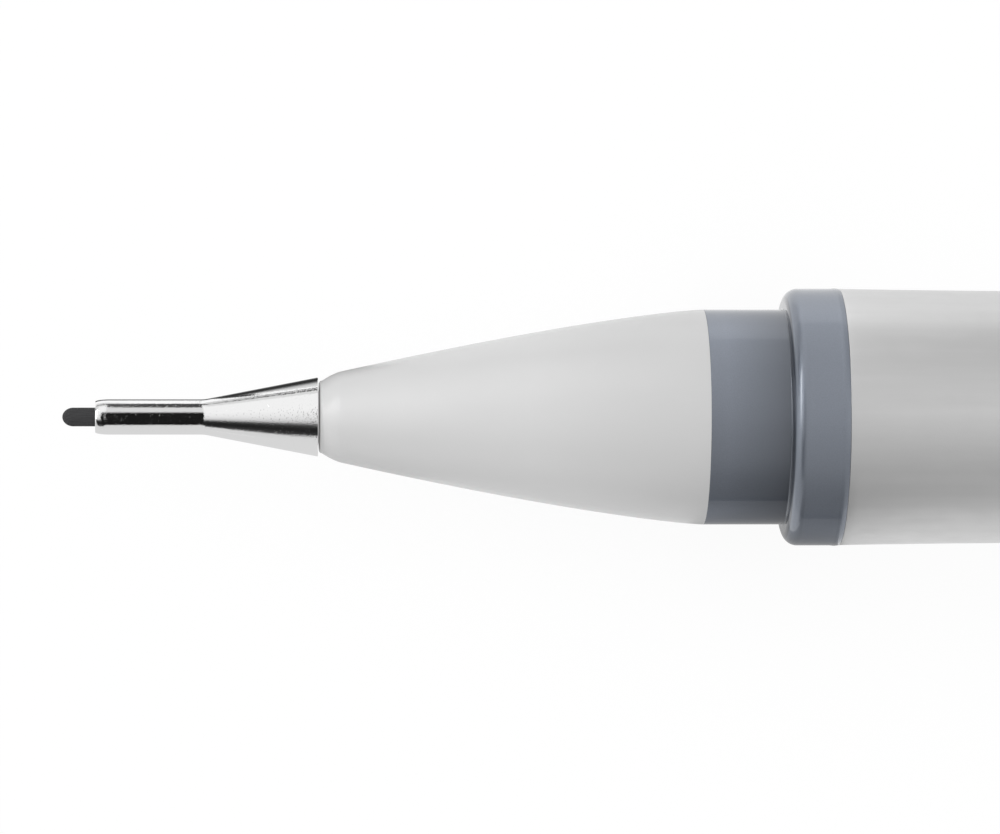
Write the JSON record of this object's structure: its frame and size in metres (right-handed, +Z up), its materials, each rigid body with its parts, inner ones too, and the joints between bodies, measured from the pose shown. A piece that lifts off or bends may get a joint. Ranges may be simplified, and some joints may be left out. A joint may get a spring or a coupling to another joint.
{
  "type": "fineliner pen",
  "caption": "Slim fineliner pen with a metal-sleeved fibre point, curved nose, flanged collar, straight metal barrel and a clipped cap posted on the tail.",
  "frame": {"origin": "on the pen's axis, in the front face of the flange, where the rim of the cap seats", "axes": "+X along the axis from the point to the tail, +Z up with the pen lying on its clip"},
  "size_m": [0.1574, 0.012, 0.011],
  "materials": {
    "fibre_tip": "matte dark grey fibre",
    "bright_steel": "bright polished stainless steel",
    "holder_plastic": "natural white acetal",
    "nose_plastic": "satin pale grey moulding",
    "collar_plastic": "glossy blue-grey moulding",
    "black_rubber": "matte black rubber",
    "bush_plastic": "natural white moulding",
    "feed_fibre": "ink-stained bonded fibre",
    "cartridge_plastic": "milky translucent moulding",
    "ink_fibre": "ink-soaked fibre bundle",
    "film": "clear wrapping film",
    "vent_plastic": "white moulding",
    "barrel_metal": "satin bead-blasted and anodised",
    "cap_metal": "satin bead-blasted and anodised",
    "liner_plastic": "white moulding",
    "seal_rubber": "soft dark grey elastomer",
    "clip_steel": "polished spring steel"
  },
  "bodies": {
    "barrel": {"barrel_tube": "barrel_metal", "tail_plug": "collar_plastic"},
    "section": {"nose_cone": "nose_plastic", "section_collar": "collar_plastic", "section_seal": "black_rubber", "wick_holder": "bush_plastic", "relay_wick": "feed_fibre"},
    "cartridge": {"cartridge_tube": "cartridge_plastic", "reservoir_core": "ink_fibre", "reservoir_film": "film", "cartridge_plug": "vent_plastic"},
    "nib_unit": {"nib": "fibre_tip", "nib_sleeve": "bright_steel", "nib_holder": "holder_plastic"},
    "cap": {"cap_shell": "cap_metal", "cap_liner": "liner_plastic", "cap_seal": "seal_rubber", "cap_crown": "collar_plastic"},
    "clip": {"clip": "clip_steel"}
  },
  "joints": [
    {"name": "section_pull", "type": "slide", "parent": "barrel", "child": "section", "axis": [-1, 0, 0], "range_m": [0, 0.063]},
    {"name": "cartridge_pull", "type": "slide", "parent": "section", "child": "cartridge", "axis": [1, 0, 0], "range_m": [0, 0.0115]},
    {"name": "nib_pull", "type": "slide", "parent": "section", "child": "nib_unit", "axis": [-1, 0, 0], "range_m": [0, 0.012]},
    {"name": "cap_pull", "type": "slide", "parent": "barrel", "child": "cap", "axis": [1, 0, 0], "range_m": [0, 0.012]},
    {"name": "clip_spring", "type": "hinge", "parent": "cap", "child": "clip", "pos_m": [0.12306, -0.0042, -0.00315], "axis": [0, -0.6, 0.8], "range_deg": [0, 5], "stiffness_Nm_per_rad": 0.6}
  ]
}
